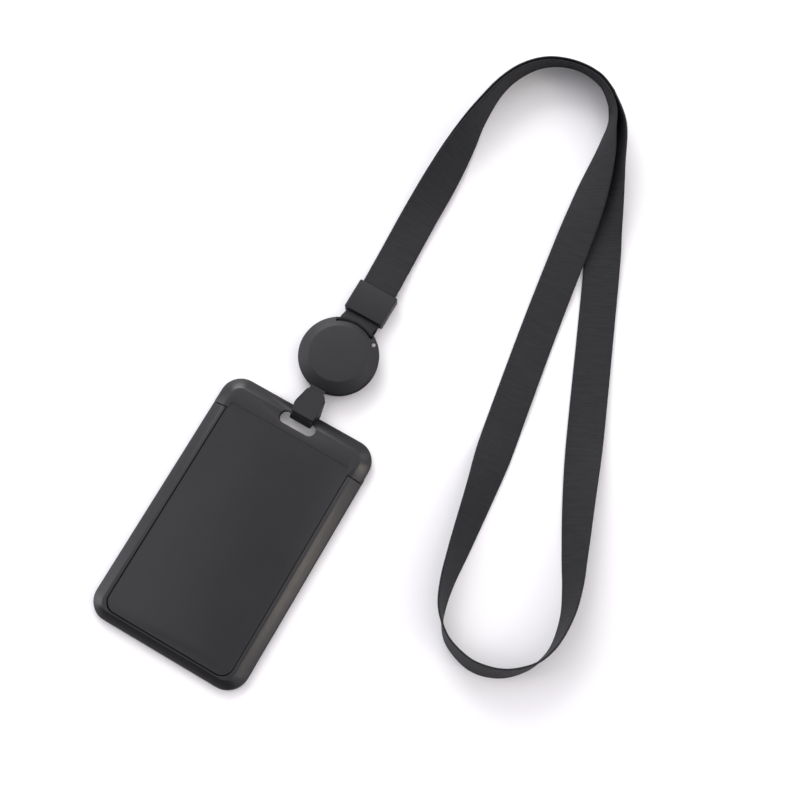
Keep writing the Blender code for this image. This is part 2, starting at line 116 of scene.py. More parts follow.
# strap end loop centreline: y, z, how far it follows the reel's rim across its width
END_LOOP = [
    (74.9, 3.05, 0.0),
    (71.5, 3.05, 0.0),
    (69.2, 3.08, 0.0),
    (68.0, 3.5, 0.2),
    (67.1, 4.7, 0.5),
    (66.3, 6.0, 0.8),
    (65.3, 6.75, 1.0),
    (64.5, 6.65, 1.0),
    (63.98, 6.0, 1.0),
    (63.9, 5.0, 1.0),
    (63.9, 2.2, 1.0),
    (63.98, 1.35, 1.0),
    (64.5, 0.72, 1.0),
    (65.3, 0.55, 1.0),
    (66.4, 0.6, 0.7),
    (67.3, 1.1, 0.3),
    (68.1, 1.75, 0.05),
    (69.2, 1.85, 0.0),
    (71.5, 1.85, 0.0),
    (74.9, 1.85, 0.0),
]
PULL_CORD = [
    (4.6, 39.2, 3.75),
    (3.0, 38.65, 3.75),
    (1.5, 38.2, 3.75),
    (0.5, 37.5, 3.75),
    (0.05, 36.4, 3.75),
    (0.0, 35.2, 3.75),
    (0.0, 33.4, 3.75),
    (0.0, 31.7, 3.75),
]


def box_mm(node):
    """A CAD node's lowest and highest corner in millimetres."""
    low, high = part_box(node)
    return low / MM, high / MM


REEL_LOW, REEL_HIGH = box_mm("reel_back_case")[0], box_mm("reel_front_cap")[1]
REEL_X = (REEL_LOW.x + REEL_HIGH.x) / 2
REEL_Y = (REEL_LOW.y + REEL_HIGH.y) / 2
REEL_R = (REEL_HIGH.x - REEL_LOW.x) / 2

# the holder: where its side rails end, where the cover's band starts, the height of its outer
# edge, the radius of its corners, and half the width of its panel
RAIL_TOP = 10.4
BAND_LOW = 10.8
RAIL_EDGE = 2.6
HOLDER_CORNER = 8.4
PANEL_HALF = 26.95

# the reel: the arc-shaped slot's inner and outer radius, its half angle, and the cord's height
SLOT_IN, SLOT_OUT = 13.6, 15.0
SLOT_TURN = 34
CORD_Z = 3.75


# ------------------------------------------------------------------ hand tools


def nothing_selected():
    if bpy.context.object and bpy.context.object.mode != "OBJECT":
        bpy.ops.object.mode_set(mode="OBJECT")
    bpy.ops.object.select_all(action="DESELECT")


def take(o):
    """Makes o the one selected and active object."""
    nothing_selected()
    bpy.context.view_layer.objects.active = o
    o.select_set(True)


def edit(o, kind, test):
    """Opens o in edit mode with only the vertices, edges or faces selected that pass the test."""
    take(o)
    bpy.ops.object.mode_set(mode="EDIT")
    bpy.ops.mesh.select_mode(type=kind)
    bpy.ops.mesh.select_all(action="DESELECT")
    bm = bmesh.from_edit_mesh(o.data)
    for item in {"VERT": bm.verts, "EDGE": bm.edges, "FACE": bm.faces}[kind]:
        if test(item):
            item.select_set(True)
    bm.select_flush_mode()
    bmesh.update_edit_mesh(o.data)


def done():
    bpy.ops.object.mode_set(mode="OBJECT")


def applied(o, kind, **settings):
    """Adds a modifier and applies it at once."""
    take(o)
    m = o.modifiers.new(kind.lower(), kind)
    for key, value in settings.items():
        setattr(m, key, value)
    bpy.ops.object.modifier_apply(modifier=m.name)


def carve(o, tool, operation="DIFFERENCE"):
    """Cuts with a tool or joins it on; only three-cornered faces are truly flat, so they come first."""
    applied(o, "TRIANGULATE", min_vertices=4)
    applied(o, "BOOLEAN", operation=operation, solver="EXACT", object=tool)
    bpy.data.objects.remove(tool, do_unlink=True)
    edit(o, "VERT", lambda v: True)
    bpy.ops.mesh.remove_doubles(threshold=1e-6)
    done()


def block(name, low, high):
    """A box between two corners in mm."""
    nothing_selected()
    low, high = Vector(low) * MM, Vector(high) * MM
    bpy.ops.mesh.primitive_cube_add(size=1, location=(low + high) / 2)
    o = bpy.context.object
    o.name = name
    o.scale = high - low
    bpy.ops.object.transform_apply(location=True, rotation=True, scale=True)
    return o


def rod(name, centre, radius, depth, axis="Z", sides=48):
    """A round bar in mm, its middle at centre."""
    nothing_selected()
    turn = {"Z": (0, 0, 0), "Y": (math.pi / 2, 0, 0), "X": (0, math.pi / 2, 0)}[axis]
    bpy.ops.mesh.primitive_cylinder_add(
        vertices=sides, radius=radius * MM, depth=depth * MM, location=Vector(centre) * MM, rotation=turn
    )
    o = bpy.context.object
    o.name = name
    bpy.ops.object.transform_apply(location=True, rotation=True, scale=True)
    return o


def slanted_rod(name, top, foot, radius, depth, sides=24):
    """A round bar in mm whose middle line runs through two points."""
    top, foot = Vector(top), Vector(foot)
    o = rod(name, (0, 0, 0), radius, depth, sides=sides)
    o.rotation_euler = (top - foot).to_track_quat("Z", "Y").to_euler()
    o.location = (top + foot) / 2 * MM
    bpy.ops.object.transform_apply(location=True, rotation=True, scale=True)
    return o


def near(a, b, slack=0.02):
    """Whether two lengths agree; a is in metres and b in mm."""
    return abs(a / MM - b) < slack


def round_uprights(o, places, radius, segments):
    """Bevels the upright edges that stand at these x, y places."""

    def here(e):
        a, b = (v.co for v in e.verts)
        upright = near(a.x, b.x / MM) and near(a.y, b.y / MM) and abs(a.z - b.z) > 1e-6
        return upright and any(near(a.x, x) and near(a.y, y) for x, y in places)

    edit(o, "EDGE", here)
    bpy.ops.mesh.bevel(offset=radius * MM, segments=segments, affect="EDGES")
    done()


def ease(o, test, width, segments=3, profile=0.5):
    """Rounds the edges that pass the test."""
    edit(o, "EDGE", test)
    bpy.ops.mesh.bevel(offset=width * MM, segments=segments, profile=profile, affect="EDGES")
    done()


def level_edge(height):
    """A test for edges that lie level at this height in mm."""

    def test(e):
        return all(near(v.co.z, height) for v in e.verts)

    return test


def soften(o, width, angle=32, segments=2):
    """Breaks every sharp edge a little, as a mould does, and shades the piece."""
    applied(
        o,
        "BEVEL",
        width=width * MM,
        segments=segments,
        limit_method="ANGLE",
        angle_limit=math.radians(angle),
        use_clamp_overlap=True,
        harden_normals=False,
    )
    shade(o)


def shade(o, angle=38):
    take(o)
    bpy.ops.object.shade_smooth_by_angle(angle=math.radians(angle))


def rounded_block(name, low, high, corners, radius, segments=10):
    """A box with some of its upright corners rounded."""
    o = block(name, low, high)
    round_uprights(o, corners, radius, segments)
    return o


def arc_tool(name, r0, r1, low, high):
    """A curved cutting block between two radii and two heights, spun round the reel's middle."""
    nothing_selected()
    bpy.ops.mesh.primitive_plane_add(size=1, rotation=(0, math.pi / 2, 0))
    o = bpy.context.object
    o.name = name
    o.scale = ((high - low) * MM, (r1 - r0) * MM, 1)
    bpy.ops.object.transform_apply(location=True, rotation=True, scale=True)
    o.location = (0, (r0 + r1) / 2 * MM, (low + high) / 2 * MM)
    bpy.ops.object.transform_apply(location=True, rotation=False, scale=False)
    o.rotation_euler = (0, 0, math.radians(SLOT_TURN))
    bpy.ops.object.transform_apply(location=False, rotation=True, scale=False)
    o.location = (REEL_X * MM, REEL_Y * MM, 0)
    bpy.ops.object.transform_apply(location=True, rotation=False, scale=False)
    edit(o, "FACE", lambda f: True)
    bpy.ops.mesh.spin(
        steps=28,
        angle=math.radians(2 * SLOT_TURN),
        center=(REEL_X * MM, REEL_Y * MM, 0),
        axis=(0, 0, 1),
        use_auto_merge=False,
    )
    bpy.ops.mesh.select_all(action="SELECT")
    bpy.ops.mesh.remove_doubles(threshold=1e-6)
    bpy.ops.mesh.fill_holes(sides=0)
    bpy.ops.mesh.normals_make_consistent(inside=False)
    done()
    return o


def smooth(points, per_span):
    """A Catmull-Rom curve through the points, as lists of the same length."""
    padded = [points[0], *points, points[-1]]
    out = []
    for k in range(1, len(padded) - 2):
        p0, p1, p2, p3 = padded[k - 1 : k + 3]
        for i in range(per_span):
            t = i / per_span
            row = []
            for a, b, c, d in zip(p0, p1, p2, p3):
                bend = (2 * a - 5 * b + 4 * c - d) + t * (3 * (b - c) + d - a)
                row.append(b + 0.5 * t * ((c - a) + t * bend))
            out.append(row)
    out.append(list(points[-1]))
    return out


# ------------------------------------------------------------------ finishes


class Nodes:
    """A material's node tree, written one node at a time."""

    def __init__(self, name):
        self.material = bpy.data.materials.new(name)
        self.material.use_nodes = True
        self.tree = self.material.node_tree
        self.shader = self.tree.nodes["Principled BSDF"]

    def add(self, kind, **settings):
        node = self.tree.nodes.new(kind)
        for key, value in settings.items():
            setattr(node, key, value)
        return node

    def join(self, a, b):
        self.tree.links.new(a, b)

    def math(self, operation, a, b=None, c=None):
        node = self.add("ShaderNodeMath", operation=operation)
        for socket, value in zip(node.inputs, (a, b, c)):
            if isinstance(value, (int, float)):
                socket.default_value = value
            elif value is not None:
                self.join(value, socket)
        return node.outputs[0]

    def noise(self, vector, scale, detail=3.0, roughness=0.5):
        node = self.add("ShaderNodeTexNoise")
        node.inputs["Scale"].default_value = scale
        node.inputs["Detail"].default_value = detail
        node.inputs["Roughness"].default_value = roughness
        self.join(vector, node.inputs["Vector"])
        return node.outputs["Fac"]

    def ramp(self, factor, low, high, start=0.0, stop=1.0):
        node = self.add("ShaderNodeValToRGB")
        node.color_ramp.elements[0].color = (*low, 1)
        node.color_ramp.elements[1].color = (*high, 1)
        node.color_ramp.elements[0].position = start
        node.color_ramp.elements[1].position = stop
        self.join(factor, node.inputs["Fac"])
        return node.outputs["Color"]

    def between(self, factor, low, high):
        node = self.add("ShaderNodeMapRange")
        node.inputs["To Min"].default_value = low
        node.inputs["To Max"].default_value = high
        self.join(factor, node.inputs["Value"])
        return node.outputs["Result"]

    def bump(self, height, strength, distance, under=None):
        node = self.add("ShaderNodeBump")
        node.inputs["Strength"].default_value = strength
        node.inputs["Distance"].default_value = distance
        self.join(height, node.inputs["Height"])
        if under is not None:
            self.join(under, node.inputs["Normal"])
        return node.outputs["Normal"]


def object_place(n):
    return n.add("ShaderNodeTexCoord").outputs["Object"]


def tinted(colour, share):
    return tuple(max(0.0, c * share) for c in colour)


def moulded_plastic(name, colour, rough, grain=0.25, worn=0.06, shine=0.5):
    """Satin moulded plastic: a fine spark-eroded grain, faint flow clouds, and handling haze."""
    n = Nodes(name)
    place = object_place(n)
    cloud = n.noise(place, 55, 2.0)
    smear = n.noise(place, 260, 4.0, 0.6)
    fine = n.noise(place, 5200, 2.0, 0.6)
    n.join(n.ramp(cloud, tinted(colour, 0.88), tinted(colour, 1.14), 0.3, 0.7), n.shader.inputs["Base Color"])
    haze = n.math("ADD", n.math("MULTIPLY", smear, 0.65), n.math("MULTIPLY", fine, 0.35))
    n.join(n.between(haze, rough - worn, rough + worn), n.shader.inputs["Roughness"])
    first = n.bump(cloud, 0.12, 0.0006)
    n.join(n.bump(fine, grain, 0.00004, first), n.shader.inputs["Normal"])
    n.shader.inputs["Specular IOR Level"].default_value = shine
    n.shader.inputs["IOR"].default_value = 1.5
    return n.material


def dull_and_shaded_wall(name, colour):
    """The same plastic made duller and darker for upright walls; the darker colour is painted shade."""
    return moulded_plastic(name, tinted(colour, 0.8), 0.78, 0.4, 0.06, 0.1)


def soft_rubber(name, colour):
    """Soft moulded tab: a dull skin with a leathery grain."""
    n = Nodes(name)
    place = object_place(n)
    cell = n.add("ShaderNodeTexVoronoi", feature="F1")
    cell.inputs["Scale"].default_value = 2600
    n.join(place, cell.inputs["Vector"])
    cloud = n.noise(place, 160, 3.0)
    n.join(n.ramp(cloud, tinted(colour, 0.85), tinted(colour, 1.2), 0.3, 0.7), n.shader.inputs["Base Color"])
    n.join(n.between(cloud, 0.5, 0.62), n.shader.inputs["Roughness"])
    n.join(n.bump(cell.outputs["Distance"], 0.3, 0.00004), n.shader.inputs["Normal"])
    n.shader.inputs["Specular IOR Level"].default_value = 0.4
    return n.material


def woven_strap(name, colour, rib, column):
    """Woven polyester tape: uneven cross ribs, fine warp columns and firmer edges; the colour darkens in the
    weave's hollows as painted shade.
    """
    n = Nodes(name)
    uv = n.add("ShaderNodeUVMap", uv_map="UVMap").outputs["UV"]
    split = n.add("ShaderNodeSeparateXYZ")
    n.join(uv, split.inputs[0])
    across, along = split.outputs["X"], split.outputs["Y"]
    stretch = n.add("ShaderNodeMapping")
    stretch.inputs["Scale"].default_value = (0.12, 1.0, 1.0)
    n.join(uv, stretch.inputs["Vector"])
    uneven = n.noise(stretch.outputs["Vector"], 900, 2.0, 0.6)
    drift = n.math("MULTIPLY_ADD", uneven, 0.0005, along)
    rows = n.math("SINE", n.math("MULTIPLY", drift, 2 * math.pi / (rib * MM)))
    rows = n.math("MULTIPLY_ADD", rows, 0.5, 0.5)
    threads = n.math("SINE", n.math("MULTIPLY", across, 2 * math.pi / (column * MM)))
    weave = n.math("MULTIPLY", rows, n.math("MULTIPLY_ADD", threads, 0.3, 0.7))
    lint = n.noise(uv, 5200, 2.0, 0.7)
    edge = n.math("GREATER_THAN", n.math("ABSOLUTE", across), 0.0068)
    height = n.math("MULTIPLY_ADD", edge, 0.5, weave)
    height = n.math("MULTIPLY_ADD", lint, 0.5, height)
    # colour follows the weave's height, darker where it lies low between ribs: painted shade; the uneven
    # streaks are random tone
    shade_of = n.math("ADD", n.math("MULTIPLY", weave, 0.4), n.math("MULTIPLY", uneven, 0.6))
    dye_and_rib_shade = n.ramp(shade_of, tinted(colour, 0.6), tinted(colour, 1.35), 0.2, 0.75)
    n.join(dye_and_rib_shade, n.shader.inputs["Base Color"])
    n.join(n.between(lint, 0.6, 0.8), n.shader.inputs["Roughness"])
    n.join(n.bump(height, 0.6, 0.0001), n.shader.inputs["Normal"])
    n.shader.inputs["Specular IOR Level"].default_value = 0.25
    return n.material


def spring_steel(name, colour, rough):
    """Drawn steel with lengthwise marks and a little tarnish."""
    n = Nodes(name)
    place = object_place(n)
    stretch = n.add("ShaderNodeMapping")
    stretch.inputs["Scale"].default_value = (1, 1, 12)
    n.join(place, stretch.inputs["Vector"])
    marks = n.noise(stretch.outputs["Vector"], 900, 4.0, 0.6)
    n.join(n.ramp(marks, tinted(colour, 0.8), colour, 0.35, 0.65), n.shader.inputs["Base Color"])
    n.join(n.between(marks, rough - 0.08, rough + 0.12), n.shader.inputs["Roughness"])
    n.join(n.bump(marks, 0.1, 0.00003), n.shader.inputs["Normal"])
    n.shader.inputs["Metallic"].default_value = 1.0
    return n.material


def clear_sheet(name):
    """Clear plastic film with fine scuffs."""
    n = Nodes(name)
    place = object_place(n)
    scuff = n.noise(place, 700, 6.0, 0.7)
    haze = n.noise(place, 60, 2.0)
    n.join(n.between(scuff, 0.08, 0.22), n.shader.inputs["Roughness"])
    n.join(n.ramp(haze, (0.9, 0.92, 0.93), (0.97, 0.98, 0.98)), n.shader.inputs["Base Color"])
    n.join(n.bump(scuff, 0.06, 0.00002), n.shader.inputs["Normal"])
    n.shader.inputs["Transmission Weight"].default_value = 0.9
    n.shader.inputs["IOR"].default_value = 1.5
    return n.material


def braided_cord(name, colour):
    """Fine braid: two crossing diagonal threads."""
    n = Nodes(name)
    place = object_place(n)
    split = n.add("ShaderNodeSeparateXYZ")
    n.join(place, split.inputs[0])
    lean_a = n.math("ADD", split.outputs["Y"], split.outputs["X"])
    lean_b = n.math("SUBTRACT", split.outputs["Y"], split.outputs["X"])
    a = n.math("SINE", n.math("MULTIPLY", lean_a, 9000))
    b = n.math("SINE", n.math("MULTIPLY", lean_b, 9000))
    braid = n.math("MULTIPLY_ADD", n.math("MULTIPLY", a, b), 0.5, 0.5)
    n.join(n.ramp(braid, tinted(colour, 0.6), tinted(colour, 1.3)), n.shader.inputs["Base Color"])
    n.join(n.between(braid, 0.6, 0.8), n.shader.inputs["Roughness"])
    n.join(n.bump(braid, 0.4, 0.00006), n.shader.inputs["Normal"])
    return n.material


def paint(o, *materials):
    o.data.materials.clear()
    for m in materials:
        o.data.materials.append(m)


def finish_piece(o, body, node, slot, *materials):
    """Gives a piece its finish, puts it on its body and lets it stand for its CAD node.

    A second material, a darker copy with painted shade, goes on the upright walls.
    """
    paint(o, *materials)
    if len(materials) > 1:
        edit(o, "FACE", lambda f: abs(f.normal.z) < 0.4)
        o.active_material_index = 1
        bpy.ops.object.material_slot_assign()
        done()
    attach(o, body)
    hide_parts(node)
    return o


# ------------------------------------------------------------------ strap


def strap_line(samples, width, thick):
    """Centre, wide direction and top normal in mm at each sample of x, y, roll, under."""
    out = []
    for i, (x, y, roll, under) in enumerate(samples):
        a = samples[max(i - 1, 0)]
        b = samples[min(i + 1, len(samples) - 1)]
        ahead = Vector((b[0] - a[0], b[1] - a[1], 0)).normalized()
        left = Vector((-ahead.y, ahead.x, 0))
        turn = math.radians(roll)
        normal = Vector((0, 0, 1)) * math.cos(turn) - left * math.sin(turn)
        wide = left * math.cos(turn) + Vector((0, 0, 1)) * math.sin(turn)
        lift = width / 2 * abs(math.sin(turn)) + (thick / 2 + under) * abs(math.cos(turn))
        out.append((Vector((x, y, lift + 0.1)), wide, normal))
    return out


def tape_section(width, thick):
    """Half a tape's outline from its left edge to its right, with a firm rounded edge."""
    rows = []
    half = width / 2
    for share, full in (
        (-1.0, 0.0),
        (-0.985, 0.62),
        (-0.95, 0.94),
        (-0.9, 1.0),
        (-0.8, 0.94),
        (-0.5, 0.96),
        (0.0, 0.97),
        (0.5, 0.96),
        (0.8, 0.94),
        (0.9, 1.0),
        (0.95, 0.94),
        (0.985, 0.62),
        (1.0, 0.0),
    ):
        rows.append((share * half, full * thick / 2))
    return rows


def tape(name, line, width, thick, bend=None):
    """A flat strap along the line, with a UV map in metres: across and along."""
    section = tape_section(width, thick)
    outline = section + [(u, -t) for u, t in reversed(section[1:-1])]
    bm = bmesh.new()
    layer = bm.loops.layers.uv.new("UVMap")
    rings, run, along = [], 0.0, []
    for i, (centre, wide, normal) in enumerate(line):
        if i:
            run += (centre - line[i - 1][0]).length
        along.append(run * MM)
        drop = (lambda u: Vector((0, 0, 0))) if bend is None else bend[i]
        rings.append([bm.verts.new((centre + wide * u + normal * t + drop(u)) * MM) for u, t in outline])
    count = len(outline)
    for k in range(len(rings) - 1):
        for i in range(count):
            j = (i + 1) % count
            f = bm.faces.new((rings[k][i], rings[k][j], rings[k + 1][j], rings[k + 1][i]))
            f.smooth = True
            for loop, (at, step) in zip(f.loops, ((i, k), (j, k), (j, k + 1), (i, k + 1))):
                loop[layer].uv = (outline[at][0] * MM, along[step])
    for ring, step in ((rings[0], 0), (rings[-1], -1)):
        f = bm.faces.new(ring)
        for loop, (u, t) in zip(f.loops, outline):
            loop[layer].uv = (u * MM, along[step])
    bmesh.ops.recalc_face_normals(bm, faces=bm.faces)
    mesh = bpy.data.meshes.new(name)
    bm.to_mesh(mesh)
    bm.free()
    o = bpy.data.objects.new(name, mesh)
    bpy.context.scene.collection.objects.link(o)
    return o


def neck_lines(width, thick, pitch):
    """The strap's two stretches: the main run, and the short return under the first stretch."""
    per_span, return_spans = 10, 8
    stack = strap_line(smooth(STACK_ROUTE, per_span), width, thick)
    back = [(c - n * pitch, -w, n) for c, w, n in reversed(stack)]
    last = STACK_ROUTE[-1]
    first = back[0][0]
    lead_in = [last, *LOOP_ROUTE, (first.x, first.y, -last[2], 0.0)]
    loop = strap_line(smooth(lead_in, per_span), width, thick)
    split = per_span * (len(STACK_ROUTE) - 1 - return_spans)
    run = stack + loop[1:-1] + back[: split + 1]
    return run, [(c, -w, n) for c, w, n in reversed(back[split:])]


# ------------------------------------------------------------------ settings


class BadgeStrapSettings(bpy.types.PropertyGroup):
    width: bpy.props.FloatProperty(
        name="Strap width", description="Width of the flat strap", default=0.0144, unit="LENGTH"
    )
    thickness: bpy.props.FloatProperty(
        name="Strap thickness", description="Thickness of the woven tape", default=0.0008, unit="LENGTH"
    )
    pitch: bpy.props.FloatProperty(
        name="Layer pitch",
        description="Distance between two strands that lie together",
        default=0.00118,
        unit="LENGTH",
    )
    rib: bpy.props.FloatProperty(
        name="Rib pitch",
        description="Distance between cross ribs in the weave",
        default=0.0006,
        unit="LENGTH",
    )
    colour: bpy.props.FloatVectorProperty(
        name="Strap colour",
        description="Colour of the dyed thread",
        default=(0.016, 0.016, 0.018),
        size=3,
        subtype="COLOR",
    )


class BadgeShellSettings(bpy.types.PropertyGroup):
    holder_colour: bpy.props.FloatVectorProperty(
        name="Holder colour",
        description="Plastic of the card holder",
        default=(0.008, 0.008, 0.009),
        size=3,
        subtype="COLOR",
    )
    reel_colour: bpy.props.FloatVectorProperty(
        name="Reel colour",
        description="Plastic of the reel and buckle",
        default=(0.008, 0.008, 0.01),
        size=3,
        subtype="COLOR",
    )
    tab_colour: bpy.props.FloatVectorProperty(
        name="Tab colour",
        description="Soft tab that hooks the holder",
        default=(0.008, 0.008, 0.009),
        size=3,
        subtype="COLOR",
    )
    rough: bpy.props.FloatProperty(
        name="Roughness",
        description="How dull the moulded plastic is",
        default=0.34,
        min=0.05,
        max=1.0,
        subtype="FACTOR",
    )
    slope: bpy.props.FloatProperty(
        name="Frame slope",
        description="Width of the frame's sloping edge",
        default=0.0044,
        unit="LENGTH",
    )


class BadgeStageSettings(bpy.types.PropertyGroup):
    azimuth: bpy.props.FloatProperty(
        name="Azimuth",
        description="Camera's turn about the object",
        default=math.radians(29.76),
        subtype="ANGLE",
    )
    elevation: bpy.props.FloatProperty(
        name="Elevation",
        description="Camera's height above the table",
        default=math.radians(75.83),
        subtype="ANGLE",
    )
    distance: bpy.props.FloatProperty(
        name="Distance",
        description="Camera's distance from what it looks at",
        default=0.502,
        unit="LENGTH",
    )
    aim: bpy.props.FloatVectorProperty(
        name="Aim",
        description="Point on the table the camera looks at",
        default=(0.029, 0.04737, 0.0),
        size=3,
        unit="LENGTH",
    )
    field: bpy.props.FloatProperty(
        name="Field of view",
        description="Camera's angle of view",
        default=math.radians(34.55),
        subtype="ANGLE",
    )
    floor_colour: bpy.props.FloatVectorProperty(
        name="Floor colour",
        description="Colour of the table",
        default=(0.93, 0.93, 0.93),
        size=3,
        subtype="COLOR",
    )


# ------------------------------------------------------------------ pieces


class BADGE_OT_neck_strap(bpy.types.Operator):
    """Weaves the neck strap: up the stack, round the far loop and back under itself"""

    bl_idname = "badge.neck_strap"
    bl_label = "Neck strap"

    def execute(self, context):
        s = context.scene.badge_strap
        width, thick, pitch = s.width / MM, s.thickness / MM, s.pitch / MM
        weave = woven_strap("woven_tape", tuple(s.colour), s.rib / MM, 0.5)
        for name, line in zip(("neck_strap_run", "neck_strap_return"), neck_lines(width, thick, pitch)):
            o = tape(name, line, width, thick)
            finish_piece(o, "lanyard", "neck_strap", "neck_strap", weave)
        return {"FINISHED"}


class BADGE_OT_end_loop(bpy.types.Operator):
    """Folds the short strap round the reel's bridge"""

    bl_idname = "badge.end_loop"
    bl_label = "Strap end loop"

    def execute(self, context):
        s = context.scene.badge_strap
        rows = smooth(END_LOOP, 5)
        line, bends = [], []
        r = (SLOT_IN + SLOT_OUT) / 2
        for i, (y, z, follow) in enumerate(rows):
            a, b = rows[max(i - 1, 0)], rows[min(i + 1, len(rows) - 1)]
            ahead = Vector((0, b[0] - a[0], b[1] - a[1])).normalized()
            normal = Vector((0, -ahead.z, ahead.y))
            line.append((Vector((0, y, z)), Vector((1, 0, 0)), normal))
            bends.append(lambda u, k=follow: Vector((0, k * (math.sqrt(r * r - u * u) - r), 0)))
        o = tape("strap_end_tape", line, s.width / MM, s.thickness / MM, bends)
        edit(o, "EDGE", lambda e: abs(e.verts[0].co.x - e.verts[1].co.x) > 2.5 * MM)
        bpy.ops.mesh.subdivide(number_cuts=2)
        done()
        weave = woven_strap("woven_end_tape", tuple(s.colour), s.rib / MM, 0.5)
        finish_piece(o, "reel", "strap_end_loop", "strap_end_loop", weave)
        o.parent = None
        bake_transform(o)
        return {"FINISHED"}


class BADGE_OT_buckle(bpy.types.Operator):
    """Moulds the two shells that grip the strap ends"""

    bl_idname = "badge.buckle"
    bl_label = "Buckle"

    def execute(self, context):
        s = context.scene.badge_shell
        plastic = moulded_plastic("buckle_plastic", tuple(s.reel_colour), s.rough + 0.1, shine=0.38)
        for node in ("buckle_front", "buckle_back"):
            low, high = box_mm(node)
            corners = [(x, y) for x in (low.x, high.x) for y in (low.y, high.y)]
            o = rounded_block(node + "_shell", low, high, corners, 0.7, 5)
            outer = high.z if node == "buckle_front" else low.z
            ease(o, level_edge(outer), 0.55, 4)
            carve(o, block("way", (-7.8, low.y - 2, 1.1), (7.8, high.y + 2, 3.8)))
            for y in (low.y + 2.2, high.y - 2.2):
                for x in (-5.2, 0.0, 5.2):
                    z = 3.72 if node == "buckle_front" else 1.18
                    carve(o, rod("tooth", (x, y, z), 0.35, 0.3, sides=12), "UNION")
            if node == "buckle_back":
                carve(o, block("recess", (-5.5, low.y + 3, -0.2), (5.5, high.y - 3, 0.25)))
            soften(o, 0.12, 40)
            finish_piece(o, "lanyard", node, "buckle", plastic)
        return {"FINISHED"}


def strap_slot_tools():
    """Cutting blocks shared by the reel's two shells."""
    return (
        arc_tool("slot_tool", SLOT_IN, SLOT_OUT, -1, 11),
        rod("exit_tool", (0, 35.3, CORD_Z), 1.35, 6.6, "Y", 24),
    )


def drill_peep(o):
    """Drills the small see-through hole beside the strap slot."""
    top, foot = (10.1, 59.7, 7.5), (8.8, 61.6, -0.5)
    carve(o, slanted_rod("peep_tool", top, foot, 0.75, 14))
    shade(o)


def draw_in(o, level, radius):
    """Scales a turned shell's edge at one height to a new radius about the reel's middle."""
    edit(o, "VERT", lambda v: near(v.co.z, level))
    share = radius / REEL_R
    bpy.ops.transform.resize(value=(share, share, 1), center_override=Vector((REEL_X, REEL_Y, level)) * MM)
    done()


class BADGE_OT_reel_cap(bpy.types.Operator):
    """Turns the reel's front cap, with its flat disc, chamfer, strap slot and tab dock"""

    bl_idname = "badge.reel_cap"
    bl_label = "Reel front cap"

    def execute(self, context):
        s = context.scene.badge_shell
        low, high = box_mm("reel_front_cap")
        shoulder = 6.2
        centre = (REEL_X, REEL_Y)
        o = rod("reel_cap_shell", (*centre, (low.z + shoulder) / 2), REEL_R, shoulder - low.z, sides=160)
        draw_in(o, low.z, REEL_R - 0.2)
        edit(o, "FACE", lambda f: f.normal.z > 0.9)
        bpy.ops.mesh.extrude_region_move(TRANSFORM_OT_translate={"value": (0, 0, (high.z - shoulder) * MM)})
        share = 11.4 / REEL_R
        middle = Vector((*centre, high.z)) * MM
        bpy.ops.transform.resize(value=(share, share, 1), center_override=middle)
        done()
        ease(o, level_edge(high.z), 0.28, 3)
        ease(o, level_edge(shoulder), 0.5, 4)
        ease(o, level_edge(low.z), 0.18, 2)
        edit(o, "FACE", lambda f: f.normal.z < -0.9 and f.calc_area() > 0.0004)
        bpy.ops.mesh.inset(thickness=(REEL_R - 12.4) * MM)
        bpy.ops.mesh.extrude_region_move(TRANSFORM_OT_translate={"value": (0, 0, (7.5 - low.z) * MM)})
        done()
        for tool in strap_slot_tools():
            carve(o, tool)
        carve(o, arc_tool("bridge_tool", SLOT_IN, 18.0, 6.0, 11))
        soften(o, 0.12, 42)
        drill_peep(o)
        plastic = moulded_plastic("reel_plastic", tuple(s.reel_colour), s.rough + 0.2, shine=0.44)
        # the walls get a darker copy of the plastic: painted shade
        wall = dull_and_shaded_wall("reel_shaded_wall", tuple(s.reel_colour))
        finish_piece(o, "reel", "reel_front_cap", "reel_front_cap", plastic, wall)
        return {"FINISHED"}


